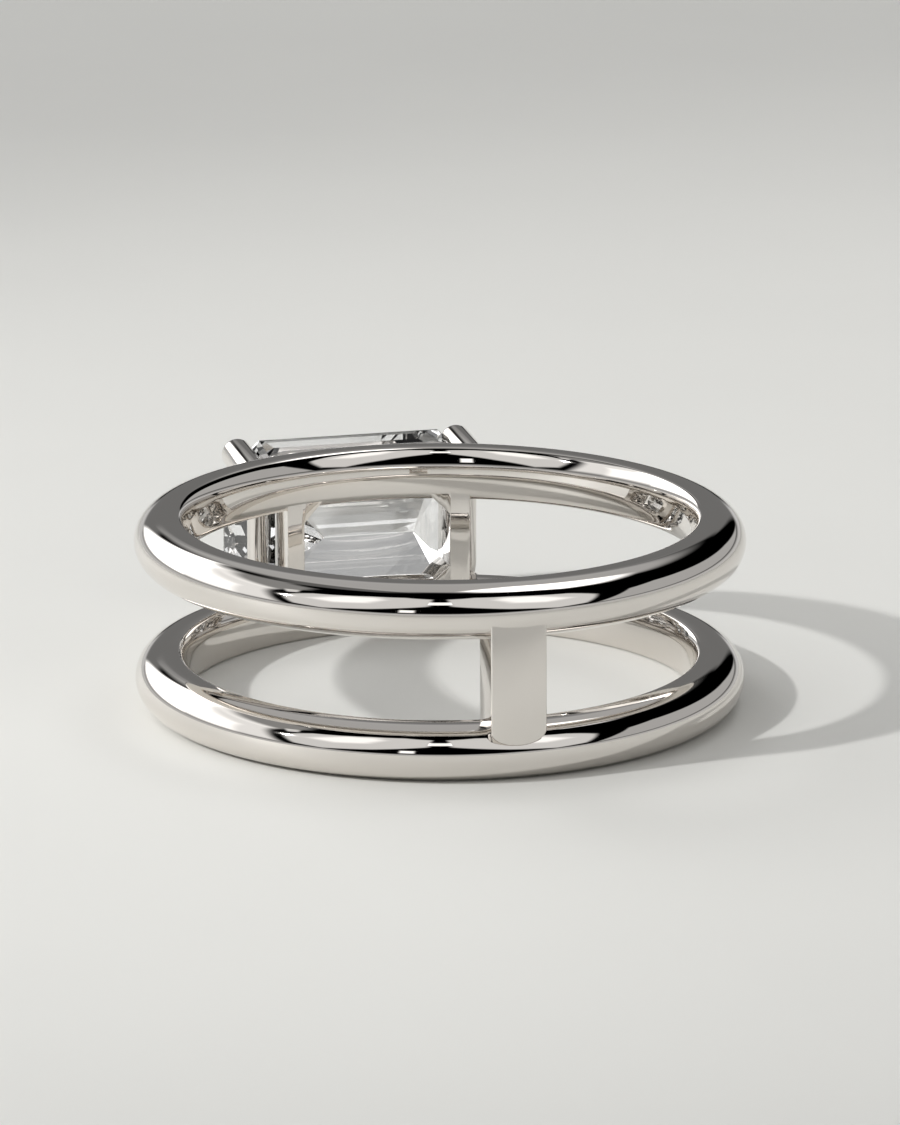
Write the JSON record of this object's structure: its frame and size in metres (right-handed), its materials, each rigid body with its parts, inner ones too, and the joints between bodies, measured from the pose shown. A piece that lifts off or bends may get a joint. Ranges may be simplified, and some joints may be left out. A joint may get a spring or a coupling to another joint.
{
  "type": "east west ring",
  "caption": "Double-band finger ring with a clear step-cut stone set lengthwise across an open claw head, held by a rail loop and joined by an upright bar at the back.",
  "frame": {"origin": "middle of the bounding box in plan, at the underside of the lower band on which the ring lies", "axes": "+Z along the finger hole, +Y from the ring's axis towards the head with the stone, +X along the stone's long axis"},
  "size_m": [0.0202, 0.0234, 0.0065],
  "materials": {
    "white_gold": "polished",
    "clear_stone": "polished facets"
  },
  "bodies": {
    "root": {"ring_frame": "white_gold", "emerald_cut_stone": "clear_stone"}
  },
  "joints": []
}
